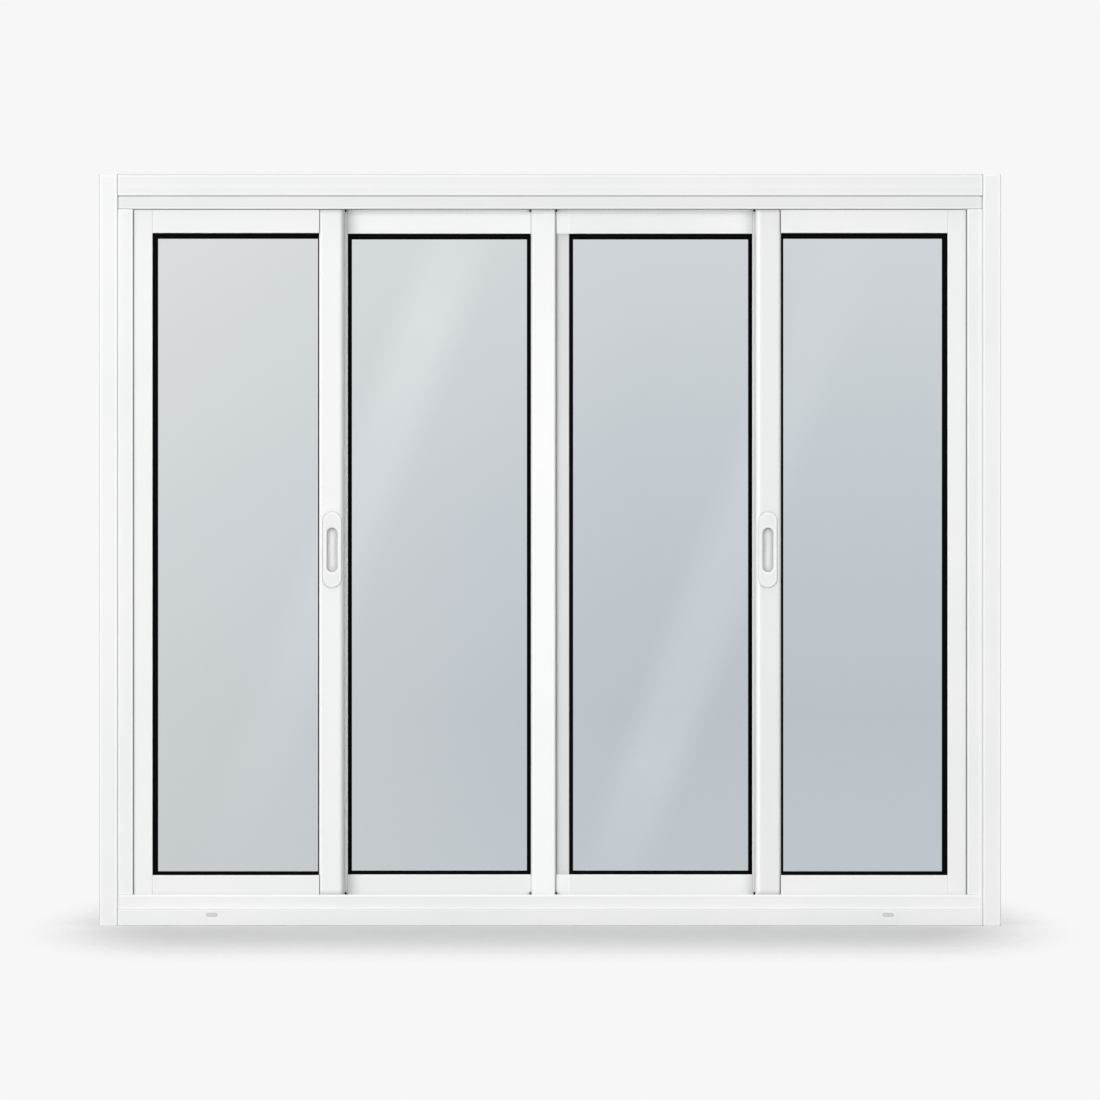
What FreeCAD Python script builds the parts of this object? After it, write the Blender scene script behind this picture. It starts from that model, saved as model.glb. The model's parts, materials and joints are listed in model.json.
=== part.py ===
import FreeCAD, Part
import Sketcher
import os

# Four-panel horizontal sliding window of extruded, powder-coated aluminium, in millimetres.
# Two sashes run in the front track and two in the back track of one frame.
# +X is to the right, -Y is the front and +Z is up; the origin is at the middle of the sill's base.

SIZES = {
    "frame_width": 1200, "frame_height": 1000, "frame_depth": 80,
    "wall": 1.6, "edge_round": 1.6, "sash_round": 1.2,
    "jamb_face": 24.6, "head_face": 28.8, "head_web": 16, "sill_face": 22.4,
    "jamb_leg": 20.4, "head_leg": 17.5, "sill_leg": 18.9, "base_round": 0.8,
    "leg_setback": 4.5, "leg_wall": 2.4, "leg_round": 1.1, "mid_leg": 3, "mid_leg_height": 12,
    "roller_rail": 3, "roller_rail_height": 9, "rail_crown": 1.2,
    "guide_fin": 3, "fin_overlap": 12,
    "sash_depth": 26, "side_clearance": 8, "sill_clearance": 4.6, "head_clearance": 17.9,
    "outer_stile": 38, "interlock_stile": 33.7, "meeting_stile": 24, "meeting_gap": 3,
    "top_rail": 44, "bottom_rail": 40, "sash_width_difference": 8.5, "interlock_reveal": 3.9,
    "interlock_round": 6, "bead_round": 3.5,
    "hook_leg_offset": 4.5, "hook_tip": 7, "hook_reach": 6.2, "hook_end_gap": 3,
    "cover_lip": 9, "cover_lip_wall": 2.4, "lip_round": 0.6, "cover_proud": 5.5,
    "cover_round": 4, "cover_end_gap": 1.5, "block_gap": 1,
    "rebate_depth": 7, "rebate_width": 13, "glass": 5, "glass_bite": 5, "gasket_play": 0.1,
    "gasket_seat": 0.3,
    "show_outer": 7.2, "show_left_hook": 1.6, "show_right_hook": 3.3, "show_inner": 5.4,
    "show_top": 7.4, "show_bottom": 4.9,
    "wheel": 21, "wheel_width": 8, "wheel_groove": 1.5, "groove_width": 3.6, "wheel_play": 0.1,
    "fitting_inset": 60, "fitting_play": 0.2, "housing_length": 44, "housing_height": 18,
    "guide_length": 36, "guide_height": 24, "guide_slot_play": 0.5, "guide_slot_gap": 3,
    "pull_width": 24.5, "pull_length": 100.7, "pull_plate": 2.4, "pull_bevel": 1.2,
    "pull_centre_height": 500, "pull_from_edge": 16.3, "recess_width": 14.6, "recess_length": 59,
    "recess_depth": 10, "cup_wall": 1.2, "cup_play": 0.2, "mouth_bevel": 0.9,
    "weep_width": 16, "weep_height": 6.2, "weep_from_end": 150, "weep_centre_height": 14.4,
    "weep_margin": 1.3, "weep_flap_recess": 0.5, "weep_base": 1,
    "drain_width": 30, "drain_height": 5, "drain_from_end": 450,
    "fixing_hole": 6.6, "fixing_from_end": 150,
}


class Length:
    """A number together with the spreadsheet expression that gives it."""

    def __init__(self, value, text):
        self.value = value
        self.text = text

    def __add__(self, other):
        other = length(other)
        return Length(self.value + other.value, f"({self.text} + {other.text})")

    def __sub__(self, other):
        other = length(other)
        return Length(self.value - other.value, f"({self.text} - {other.text})")

    def __rsub__(self, other):
        return length(other) - self

    def __mul__(self, factor):
        return Length(self.value * factor, f"({self.text} * {factor})")

    def __truediv__(self, divisor):
        return Length(self.value / divisor, f"({self.text} / {divisor})")

    def __neg__(self):
        return self * -1


def length(value):
    return value if isinstance(value, Length) else Length(value, str(value))


doc = FreeCAD.newDocument("SlidingWindow")
sheet = doc.addObject("Spreadsheet::Sheet", "Sizes")


class Named:
    """The driving dimensions by name, each a Length bound to its cell."""


s = Named()
for row, (name, number) in enumerate(SIZES.items(), start=1):
    sheet.set(f"A{row}", name)
    sheet.set(f"B{row}", str(number))
    sheet.setAlias(f"B{row}", name)
    setattr(s, name, Length(number, f"Sizes.{name}"))
doc.recompute()

pieces = []


def bind(thing, prop, value):
    thing.setExpression(prop, length(value).text)


def new_body(label, x=0, y=0, z=0):
    """A body whose own origin stands at (x, y, z)."""
    body = doc.addObject("PartDesign::Body", label)
    body.Label = label
    for axis, place in zip("xyz", (x, y, z)):
        bind(body, f"Placement.Base.{axis}", place)
    return body


def sketch_on(body, role, name):
    """A sketch on one of the body's origin planes: XY, XZ or YZ."""
    sketch = body.newObject("Sketcher::SketchObject", name)
    plane = [f for f in body.Origin.OriginFeatures if f.Role == role + "_Plane"][0]
    sketch.AttachmentSupport = [(plane, "")]
    sketch.MapMode = "FlatFace"
    return sketch


def walk(sketch, lines, rounds=None):
    """Closed outline of alternating upright and level lines, given as x, y, x, y and so on.

    Corner i joins line i to line i + 1; rounds gives the radius of each rounded corner.
    """
    rounds = rounds or {}
    lines = [length(line) for line in lines]
    count = len(lines)
    corners = []
    for i in range(count):
        upright, level = (i, (i + 1) % count) if i % 2 == 0 else ((i + 1) % count, i)
        corners.append(FreeCAD.Vector(lines[upright].value, lines[level].value, 0))
    radii = [length(rounds.get(i, 0)) for i in range(count)]
    ids = []
    for i in range(count):
        start, end = corners[i - 1], corners[i]
        along = (end - start).normalize()
        first = start + along * radii[i - 1].value
        last = end - along * radii[i].value
        ids.append(sketch.addGeometry(Part.LineSegment(first, last), False))
    for i in range(count):
        following = (i + 1) % count
        upright = i % 2 == 0
        sketch.addConstraint(Sketcher.Constraint("Vertical" if upright else "Horizontal", ids[i]))
        kind = "DistanceX" if upright else "DistanceY"
        place = sketch.addConstraint(Sketcher.Constraint(kind, -1, 1, ids[i], 1, lines[i].value))
        bind(sketch, f"Constraints[{place}]", lines[i])
        if i not in rounds:
            sketch.addConstraint(Sketcher.Constraint("Coincident", ids[i], 2, ids[following], 1))
            continue
        radius = radii[i].value
        incoming = (corners[i] - corners[i - 1]).normalize()
        outgoing = (corners[following] - corners[i]).normalize()
        begin = corners[i] - incoming * radius
        finish = corners[i] + outgoing * radius
        centre = begin + outgoing * radius
        middle = centre + (corners[i] - centre).normalize() * radius
        left_turn = incoming.cross(outgoing).z > 0
        ends = (begin, finish) if left_turn else (finish, begin)
        arc = sketch.addGeometry(Part.Arc(ends[0], middle, ends[1]), False)
        head = 1 if left_turn else 2
        sketch.addConstraint(Sketcher.Constraint("Tangent", ids[i], 2, arc, head))
        sketch.addConstraint(Sketcher.Constraint("Tangent", arc, 3 - head, ids[following], 1))
        place = sketch.addConstraint(Sketcher.Constraint("Radius", arc, radius))
        bind(sketch, f"Constraints[{place}]", radii[i])


def outline(sketch, points):
    """Closed straight-sided outline through points measured from the sketch's origin."""
    points = [(length(x), length(y)) for x, y in points]
    spots = [FreeCAD.Vector(x.value, y.value, 0) for x, y in points]
    ids = [sketch.addGeometry(Part.LineSegment(start, end), False)
           for start, end in zip(spots, spots[1:] + spots[:1])]
    for i, point in enumerate(points):
        sketch.addConstraint(Sketcher.Constraint("Coincident", ids[i - 1], 2, ids[i], 1))
        for kind, spot in zip(("DistanceX", "DistanceY"), point):
            place = sketch.addConstraint(Sketcher.Constraint(kind, -1, 1, ids[i], 1, spot.value))
            bind(sketch, f"Constraints[{place}]", spot)


def stadium(sketch, width, tall, centre_x=0, centre_y=0, upright=True):
    """Two half circles of the given width joined by straight sides."""
    width, tall = length(width), length(tall)
    centre_x, centre_y = length(centre_x), length(centre_y)
    radius = width / 2
    half = (tall - width) / 2
    along = FreeCAD.Vector(0, 1, 0) if upright else FreeCAD.Vector(1, 0, 0)
    across = FreeCAD.Vector(1, 0, 0) if upright else FreeCAD.Vector(0, -1, 0)
    middle = FreeCAD.Vector(centre_x.value, centre_y.value, 0)
    ids = []
    for end in (1, -1):
        centre = middle + along * (half.value * end)
        begin = centre + across * (radius.value * end)
        top = centre + along * (radius.value * end)
        finish = centre - across * (radius.value * end)
        ids.append(sketch.addGeometry(Part.Arc(begin, top, finish), False))
        ids.append(sketch.addGeometry(Part.LineSegment(
            finish, finish - along * (2 * half.value * end)), False))
    for arc, side, other in ((ids[0], ids[1], ids[3]), (ids[2], ids[3], ids[1])):
        sketch.addConstraint(Sketcher.Constraint("Tangent", arc, 2, side, 1))
        sketch.addConstraint(Sketcher.Constraint("Tangent", arc, 1, other, 2))
    sketch.addConstraint(Sketcher.Constraint("Vertical" if upright else "Horizontal", ids[1]))
    place = sketch.addConstraint(Sketcher.Constraint("Radius", ids[0], radius.value))
    bind(sketch, f"Constraints[{place}]", radius)
    sketch.addConstraint(Sketcher.Constraint("Equal", ids[0], ids[2]))
    lengthwise, crosswise = ("DistanceY", "DistanceX") if upright else ("DistanceX", "DistanceY")
    start, fixed = (centre_y, centre_x) if upright else (centre_x, centre_y)
    for kind, arc, spot in ((lengthwise, ids[0], start + half), (lengthwise, ids[2], start - half),
                            (crosswise, ids[0], fixed)):
        place = sketch.addConstraint(Sketcher.Constraint(kind, -1, 1, arc, 3, spot.value))
        bind(sketch, f"Constraints[{place}]", spot)


def feature(kind, body, sketch, name, depth=None, both_ways=False, backwards=False):
    """A Pad or Pocket of a sketch; a pocket with no depth goes right through, both ways."""
    made = body.newObject("PartDesign::" + kind, name)
    made.Profile = sketch
    if both_ways:
        made.SideType = "Symmetric"
    if depth is None:
        made.Type = "ThroughAll"
        made.SideType = "Symmetric"
    else:
        bind(made, "Length", depth)
    made.Reversed = backwards
    return made


def keep(piece):
    pieces.append(piece)
    return piece


def mirrored(label, source):
    """The same piece on the other side of the window's middle plane."""
    twin = doc.addObject("Part::Mirroring", label)
    twin.Label = label
    twin.Source = source
    twin.Normal = (1, 0, 0)
    twin.Base = (0, 0, 0)
    return twin


def grouped(label, members):
    """Several separate solids as one piece."""
    group = doc.addObject("Part::Compound", label)
    group.Label = label
    group.Links = members
    return keep(group)


# Places worked out from the driving dimensions.
half_depth = s.frame_depth / 2
leg_face = half_depth - s.leg_setback
leg_back = leg_face - s.leg_wall
track = (leg_back + s.mid_leg / 2) / 2
half_sash = s.sash_depth / 2
half_rebate = s.rebate_width / 2
half_wall = s.wall / 2
floor = s.sill_face
sash_bottom = s.sill_face + s.sill_clearance
ceiling = s.frame_height - s.head_web
sash_top = ceiling - s.head_clearance
sash_height = sash_top - sash_bottom
head_leg_end = s.frame_height - s.head_face - s.head_leg
sill_leg_top = s.sill_face + s.sill_leg
mid_leg_top = s.sill_face + s.mid_leg_height
mid_leg_end = head_leg_end + (s.head_leg - s.mid_leg_height)
outer_edge = s.frame_width / 2 - s.jamb_face - s.side_clearance
weep_place = s.frame_width / 2 - s.weep_from_end
half_gap = s.meeting_gap / 2
overlap = s.interlock_stile - s.interlock_reveal
outer_sash = (outer_edge - half_gap + overlap - s.sash_width_difference) / 2
inner_sash = outer_edge - half_gap + overlap - outer_sash
inner_sash_edge = half_gap + inner_sash
hook_centre = outer_edge - outer_sash + overlap / 2
meeting_face = half_rebate + s.wall
rail_top = floor + s.roller_rail_height
fin_end = sash_top - s.fin_overlap


def add_jamb():
    """Upright side of the frame: a hollow web with three legs, notched for the head and sill."""
    body = new_body("left_jamb", x=-(s.frame_width / 2))
    tip = s.jamb_face + s.jamb_leg
    short_tip = s.jamb_face + s.mid_leg_height
    profile = sketch_on(body, "XY", "JambSection")
    walk(profile, [0, -half_depth, s.jamb_face, -leg_face, tip, -leg_back, s.jamb_face,
                   -(s.mid_leg / 2), short_tip, s.mid_leg / 2, s.jamb_face, leg_back, tip,
                   leg_face, s.jamb_face, half_depth],
         {0: s.edge_round, 1: s.edge_round, 14: s.edge_round, 15: s.edge_round,
          3: s.leg_round, 12: s.leg_round})
    for low, high in equal_spans(-(half_depth - s.wall), half_depth - s.wall, 3):
        walk(profile, [s.wall, low, s.jamb_face - s.wall, high])
    feature("Pad", body, profile, "Length", s.frame_height)
    notches = sketch_on(body, "XZ", "EndNotches")
    reach = tip + s.wall
    walk(notches, [s.jamb_face, -s.wall, reach, sill_leg_top])
    walk(notches, [s.jamb_face, head_leg_end, reach, s.frame_height + s.wall])
    feature("Pocket", body, notches, "NotchEnds")
    holes = sketch_on(body, "YZ", "FixingHoles")
    for place in (s.fixing_from_end, s.frame_height - s.fixing_from_end):
        circle_at(holes, track, place, s.fixing_hole)
    feature("Pocket", body, holes, "DrillFixings")
    keep(body)
    keep(mirrored("right_jamb", body))


def equal_spans(low, high, count):
    """Equal spans between two places, one wall apart."""
    span = (high - low - s.wall * (count - 1)) / count
    return [(low + (span + s.wall) * i, low + (span + s.wall) * i + span) for i in range(count)]


def circle_at(sketch, x, y, diameter):
    x, y, diameter = length(x), length(y), length(diameter)
    centre = FreeCAD.Vector(x.value, y.value, 0)
    circle = sketch.addGeometry(
        Part.Circle(centre, FreeCAD.Vector(0, 0, 1), diameter.value / 2), False)
    for kind, spot in (("DistanceX", x), ("DistanceY", y)):
        place = sketch.addConstraint(Sketcher.Constraint(kind, -1, 1, circle, 3, spot.value))
        bind(sketch, f"Constraints[{place}]", spot)
    place = sketch.addConstraint(Sketcher.Constraint("Diameter", circle, diameter.value))
    bind(sketch, f"Constraints[{place}]", diameter)


def add_sill():
    """Bottom of the frame: a chambered base, three legs and two rails for the rollers.

    Rain in the front channel drains into the front chamber and out of its weep slots.
    """
    span = s.frame_width - s.jamb_face * 2
    body = new_body("sill", x=-(span / 2))
    profile = sketch_on(body, "YZ", "SillSection")
    half_rail = s.roller_rail / 2
    walk(profile, [-half_depth, 0, half_depth, floor, leg_face, sill_leg_top, leg_back, floor,
                   track + half_rail, rail_top, track - half_rail, floor,
                   s.mid_leg / 2, mid_leg_top, -(s.mid_leg / 2), floor,
                   -(track - half_rail), rail_top, -(track + half_rail), floor,
                   -leg_back, sill_leg_top, -leg_face, floor],
         {0: s.base_round, 1: s.base_round, 2: s.edge_round, 23: s.edge_round,
          4: s.leg_round, 21: s.leg_round, 8: s.rail_crown, 9: s.rail_crown,
          16: s.rail_crown, 17: s.rail_crown})
    for low, high in equal_spans(-(half_depth - s.wall), half_depth - s.wall, 4):
        walk(profile, [low, s.wall, high, floor - s.wall])
    feature("Pad", body, profile, "Length", span)
    slots = sketch_on(body, "XZ", "WeepSlots")
    for side in (-1, 1):
        stadium(slots, s.weep_height, s.weep_width, span / 2 + weep_place * side,
                s.weep_centre_height, upright=False)
    bind(slots, "AttachmentOffset.Base.z", half_depth)
    feature("Pocket", body, slots, "CutWeeps", s.wall)
    drains = sketch_on(body, "XY", "DrainSlots")
    drain_place = s.frame_width / 2 - s.drain_from_end
    channel_middle = (leg_back + track + half_rail) / 2
    for side in (-1, 1):
        stadium(drains, s.drain_height, s.drain_width, span / 2 + drain_place * side,
                -channel_middle, upright=False)
    bind(drains, "AttachmentOffset.Base.z", floor)
    feature("Pocket", body, drains, "CutDrains", s.wall)
    keep(body)


def add_head():
    """Top of the frame: a hollow web, a nose in front and behind, legs and two guide fins."""
    span = s.frame_width - s.jamb_face * 2
    body = new_body("head", x=-(span / 2))
    nose = s.frame_height - s.head_face
    half_fin = s.guide_fin / 2
    profile = sketch_on(body, "YZ", "HeadSection")
    walk(profile, [-half_depth, s.frame_height, half_depth, nose, leg_face, head_leg_end, leg_back,
                   ceiling, track + half_fin, fin_end, track - half_fin, ceiling,
                   s.mid_leg / 2, mid_leg_end, -(s.mid_leg / 2), ceiling,
                   -(track - half_fin), fin_end, -(track + half_fin), ceiling,
                   -leg_back, head_leg_end, -leg_face, nose],
         {0: s.edge_round, 1: s.edge_round, 2: s.edge_round, 23: s.edge_round,
          4: s.leg_round, 21: s.leg_round})
    for low, high in equal_spans(-(half_depth - s.wall), half_depth - s.wall, 4):
        walk(profile, [low, ceiling + s.wall, high, s.frame_height - s.wall])
    for side in (-1, 1):
        walk(profile, [leg_face * side, nose + s.wall, (half_depth - s.wall) * side, ceiling])
    feature("Pad", body, profile, "Length", span)
    keep(body)


def stile(label, left, width, centre_y, glass_right, rounded=False, hook=0):
    """Upright side of a sash: a tube with a rebate for the glass on its inner edge.

    A rounded one has a large radius along its free front edge and a smaller one by the glass.
    """
    body = new_body(label, x=left, y=centre_y, z=sash_bottom)
    profile = sketch_on(body, "XY", "StileSection")
    plain, lip = (length(0), width) if glass_right else (width, length(0))
    inwards = 1 if glass_right else -1
    rebate = lip - s.rebate_depth * inwards
    free_round = s.interlock_round if rounded else s.sash_round
    glass_round = s.bead_round if rounded else s.sash_round
    walk(profile, [plain, -half_sash, lip, -half_rebate, rebate, half_rebate, lip, half_sash],
         {0: free_round, 1: glass_round, 6: s.sash_round, 7: s.sash_round})
    skin = s.wall * inwards
    inner_rounds = {0: free_round - s.wall, 1: glass_round - s.wall} if rounded else {}
    walk(profile, [plain + skin, -(half_sash - s.wall), lip - skin, -(half_rebate + s.wall),
                   rebate - skin, half_rebate + s.wall, lip - skin, half_sash - s.wall],
         inner_rounds)
    feature("Pad", body, profile, "Length", sash_height)
    if hook:
        middle = -hook_centre - left
        leg = middle + s.hook_leg_offset * hook
        face = half_sash * hook
        far = (half_sash + s.hook_reach) * hook
        lines = [leg, face - half_wall * hook, leg + s.wall * hook, far,
                 leg - s.hook_tip * hook, far - s.wall * hook]
        section = sketch_on(body, "XY", "HookSection")
        walk(section, lines)
        low = sill_leg_top + s.hook_end_gap - sash_bottom
        bind(section, "AttachmentOffset.Base.z", low)
        feature("Pad", body, section, "Hook", head_leg_end - s.hook_end_gap - sash_bottom - low)
    return keep(body)


def meeting_stile(label, left, turned):
    """Centre stile: its lip laps over the recessed face of the same stile turned half round."""
    side = -1 if turned else 1
    body = new_body(label, x=left, y=track, z=sash_bottom)
    profile = sketch_on(body, "XY", "MeetingSection")
    edge = s.meeting_stile * side
    tip = edge + s.cover_lip * side
    front = -half_sash * side
    walk(profile, [0, front, tip, front + s.cover_lip_wall * side, edge, meeting_face * side,
                   0, half_rebate * side, s.rebate_depth * side, -half_rebate * side],
         {0: s.sash_round, 1: s.lip_round, 4: s.sash_round, 5: s.sash_round})
    inner = s.rebate_depth * side + s.wall * side
    walk(profile, [s.wall * side, front + s.wall * side, edge - s.wall * side,
                   half_rebate * side, inner, -meeting_face * side])
    feature("Pad", body, profile, "Length", sash_height)
    if turned:
        add_end_blocks(body)
    else:
        add_cover(body)
    return keep(body)


def add_cover(body):
    """A hollow cover proud of the sash's face, stopped short of the frame's middle legs."""
    tip = s.meeting_stile + s.cover_lip
    front = -(half_sash + s.cover_proud)
    section = sketch_on(body, "XY", "CoverSection")
    inner_round = s.cover_round - s.wall
    walk(section, [0, front, tip, s.sash_round - half_sash],
         {0: s.cover_round, 1: s.cover_round})
    walk(section, [s.wall, front + s.wall, tip - s.wall, -half_sash],
         {0: inner_round, 1: inner_round})
    low = mid_leg_top + s.cover_end_gap - sash_bottom
    bind(section, "AttachmentOffset.Base.z", low)
    feature("Pad", body, section, "Cover", mid_leg_end - s.cover_end_gap - sash_bottom - low)


def add_end_blocks(body):
    """Blocks that bring the recessed face out level with the rails, beside the cover's lip."""
    edge = s.cover_lip - s.meeting_gap + s.block_gap - s.meeting_stile
    for title, low, tall in (("LowBlock", length(0), s.bottom_rail),
                             ("HighBlock", sash_height - s.top_rail, s.top_rail)):
        section = sketch_on(body, "XY", title + "Section")
        walk(section, [edge, -half_sash, 0, half_wall - meeting_face])
        bind(section, "AttachmentOffset.Base.z", low)
        feature("Pad", body, section, title, tall)


def rail(label, left, span, centre_y, bottom):
    """Level side of a sash: an H section with hollow flanges, open to the track."""
    height = s.bottom_rail if bottom else s.top_rail
    up = 1 if bottom else -1
    body = new_body(label, x=left, y=centre_y, z=sash_bottom if bottom else sash_top)
    profile = sketch_on(body, "YZ", "RailSection")
    web_top = height - s.rebate_depth
    walk(profile, [-half_sash, 0, -half_rebate, (web_top - s.wall) * up, half_rebate, 0, half_sash,
                   height * up, half_rebate, web_top * up, -half_rebate, height * up],
         {11: s.sash_round, 6: s.sash_round})
    for side in (-1, 1):
        walk(profile, [(half_sash - s.wall) * side, s.wall * up,
                       (half_rebate + s.wall) * side, (height - s.wall) * up])
    feature("Pad", body, profile, "Length", span)
    return keep(body)


def glass_edges(left, span):
    """The four edges of the glass, which reaches past the lips of the sash all round."""
    return [left - s.glass_bite, sash_bottom + s.bottom_rail - s.glass_bite,
            left + span + s.glass_bite, sash_top - s.top_rail + s.glass_bite]


def add_glass(label, left, span, centre_y):
    body = new_body(label, y=centre_y)
    edges = sketch_on(body, "XZ", "GlassEdges")
    walk(edges, glass_edges(left, span))
    feature("Pad", body, edges, "Thickness", s.glass, both_ways=True)
    return keep(body)


def add_gasket(label, left, span, centre_y, show_left, show_right):
    """Black rubber frame that wraps the edge of the glass, seated in the sash's rebate."""
    low_lip = sash_bottom + s.bottom_rail
    high_lip = sash_top - s.top_rail
    seat = s.rebate_depth - s.gasket_seat
    body = new_body(label, y=centre_y)
    ring = sketch_on(body, "XZ", "GasketRing")
    walk(ring, [left - seat, low_lip - seat, left + span + seat, high_lip + seat])
    walk(ring, [left + show_left, low_lip + s.show_bottom, left + span - show_right,
                high_lip - s.show_top])
    feature("Pad", body, ring, "Strip", s.rebate_width - s.gasket_play * 2, both_ways=True)
    groove = sketch_on(body, "XZ", "GlassGroove")
    walk(groove, glass_edges(left, span))
    feature("Pocket", body, groove, "CutGroove", s.glass, both_ways=True)
    return keep(body)


def roller_unit(label, centre_x, centre_y):
    """A housing inside the bottom rail, out of which hangs a wheel grooved for its rail."""
    wheel_radius = s.wheel / 2
    axle_height = rail_top + s.wheel_play + wheel_radius - s.wheel_groove
    web = sash_bottom + s.bottom_rail - s.rebate_depth - s.wall
    half_wheel = s.wheel_width / 2
    half_groove = s.groove_width / 2
    tread = wheel_radius - s.wheel_groove
    body = new_body(label, x=centre_x, y=centre_y)
    block = sketch_on(body, "XZ", "HousingSide")
    walk(block, [-(s.housing_length / 2), web - s.housing_height, s.housing_length / 2, web])
    feature("Pad", body, block, "Housing", s.rebate_width - s.fitting_play * 2, both_ways=True)
    section = sketch_on(body, "YZ", "WheelSection")
    bind(section, "AttachmentOffset.Base.y", axle_height)
    outline(section, [(-half_wheel, 0), (half_wheel, 0), (half_wheel, wheel_radius),
                      (half_groove, tread), (-half_groove, tread), (-half_wheel, wheel_radius)])
    wheel = body.newObject("PartDesign::Revolution", "Wheel")
    wheel.Profile = section
    wheel.ReferenceAxis = (section, ["H_Axis"])
    return body


def add_rollers(label, left, span, centre_y):
    """Every roller unit of one track: two under its left sash and two under its right one."""
    units = [roller_unit(label + "_first", left + s.fitting_inset, centre_y),
             roller_unit(label + "_second", left + span - s.fitting_inset, centre_y)]
    return grouped(label, units + [mirrored(unit.Label + "_mirrored", unit) for unit in units])


def guide_block(label, centre_x, centre_y):
    """A slotted block in the top rail that straddles the head's guide fin."""
    half_block = half_rebate - s.fitting_play
    half_slot = s.guide_fin / 2 + s.guide_slot_play
    body = new_body(label, x=centre_x, y=centre_y)
    section = sketch_on(body, "YZ", "BlockSection")
    walk(section, [-half_block, sash_top - s.guide_height, half_block, sash_top, half_slot,
                   fin_end - s.guide_slot_gap, -half_slot, sash_top])
    feature("Pad", body, section, "Block", s.guide_length, both_ways=True)
    return body


def add_guides(label, left, span, centre_y):
    return grouped(label, [guide_block(label + "_left", left + s.fitting_inset, centre_y),
                           guide_block(label + "_right", left + span - s.fitting_inset, centre_y)])


def add_flush_pull(label, centre_x, face_y):
    """Stadium-shaped pull: a bevelled rim, a flat field and a cup for the fingertips."""
    body = new_body(label, x=centre_x, y=face_y, z=s.pull_centre_height)
    plate = sketch_on(body, "XZ", "PlateOutline")
    stadium(plate, s.pull_width, s.pull_length)
    feature("Pad", body, plate, "Plate", s.pull_plate)
    cup = sketch_on(body, "XZ", "CupOutline")
    stadium(cup, s.recess_width + s.cup_wall * 2, s.recess_length + s.cup_wall * 2)
    feature("Pad", body, cup, "Cup", s.recess_depth, backwards=True)
    hollow = sketch_on(body, "XZ", "CupHollow")
    stadium(hollow, s.recess_width, s.recess_length)
    bind(hollow, "AttachmentOffset.Base.z", s.pull_plate)
    cut = feature("Pocket", body, hollow, "CutHollow", s.pull_plate + s.recess_depth - s.cup_wall)
    doc.recompute()
    for title, tall, size in (("BevelRim", s.pull_length, s.pull_bevel),
                              ("BevelMouth", s.recess_length, s.mouth_bevel)):
        bevel = body.newObject("PartDesign::Chamfer", title)
        bevel.Base = (cut, front_edges(cut.Shape, tall))
        bind(bevel, "Size", size)
        doc.recompute()
        cut = bevel
    return keep(body)


def front_edges(shape, tall):
    """Names of the edges of the stadium of this length in the foremost face."""
    front = -s.pull_plate.value
    tiny = 1e-6
    straight = tall.value / 2 - s.pull_width.value
    names = []
    for number, edge in enumerate(shape.Edges, start=1):
        box = edge.BoundBox
        reach = max(abs(box.ZMin), abs(box.ZMax))
        foremost = abs(box.YMax - front) < tiny and abs(box.YMin - front) < tiny
        if foremost and straight < reach < tall.value / 2 + tiny:
            names.append(f"Edge{number}")
    return names


def add_weep_cover():
    """A base clipped behind the slot in the sill's face, with a flap that fills its middle."""
    body = new_body("left_weep_cover", x=-weep_place, y=s.wall - half_depth,
                    z=s.weep_centre_height)
    half_base = s.weep_width / 2 + s.weep_margin
    half_tall = s.weep_height / 2 + s.weep_margin
    base = sketch_on(body, "XZ", "BaseOutline")
    walk(base, [-half_base, -half_tall, half_base, half_tall])
    feature("Pad", body, base, "Base", s.weep_base, backwards=True)
    flap = sketch_on(body, "XZ", "FlapOutline")
    stadium(flap, s.weep_height - s.weep_margin * 2, s.weep_width - s.weep_margin * 2,
            upright=False)
    feature("Pad", body, flap, "Flap", s.wall - s.weep_flap_recess)
    keep(body)
    keep(mirrored("right_weep_cover", body))


def add_sash(prefix, inner, span, centre_y):
    """What one sash holds between its two stiles, but for the gasket."""
    return [rail(prefix + "_bottom_rail", inner, span, centre_y, True),
            rail(prefix + "_top_rail", inner, span, centre_y, False),
            add_glass(prefix + "_glass", inner, span, centre_y),
            add_guides(prefix + "_top_guides", inner, span, centre_y)]


add_jamb()
add_sill()
add_head()
add_weep_cover()

# The left half: sash 1 slides in the front track and sash 2 in the back one.
outer_rail_left = s.outer_stile - outer_edge
outer_rail = outer_sash - s.outer_stile - s.interlock_stile
inner_rail_left = s.interlock_stile - inner_sash_edge
inner_rail = inner_sash - s.interlock_stile - s.meeting_stile
hole_play = (s.cup_wall + s.cup_play) * 2
outer = stile("sash_1_outer_stile", -outer_edge, s.outer_stile, -track, True)
front = stile("sash_1_interlock_stile", outer_rail_left + outer_rail, s.interlock_stile, -track,
              False, rounded=True, hook=1)
opening = sketch_on(front, "XZ", "PullOpening")
stadium(opening, s.recess_width + hole_play, s.recess_length + hole_play,
        s.interlock_stile - s.pull_from_edge, s.pull_centre_height - sash_bottom)
# The cut runs from one wall in front of the stile's face to one wall behind its sheet.
bind(opening, "AttachmentOffset.Base.z", half_sash + s.wall)
feature("Pocket", front, opening, "CutPullOpening", s.wall * 3)
pull = add_flush_pull("sash_1_flush_pull", outer_sash - outer_edge - s.pull_from_edge,
                      -track - half_sash)
sash_1 = add_sash("sash_1", outer_rail_left, outer_rail, -track)
back = stile("sash_2_interlock_stile", -inner_sash_edge, s.interlock_stile, track, True, hook=-1)
sash_2 = add_sash("sash_2", inner_rail_left, inner_rail, track)
inner_gasket = add_gasket("sash_2_gasket", inner_rail_left, inner_rail, track,
                          s.show_inner, s.show_inner)
meeting_stile("sash_2_meeting_stile", -(half_gap + s.meeting_stile), False)
add_rollers("front_track_rollers", outer_rail_left, outer_rail, -track)
add_rollers("back_track_rollers", inner_rail_left, inner_rail, track)

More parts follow.
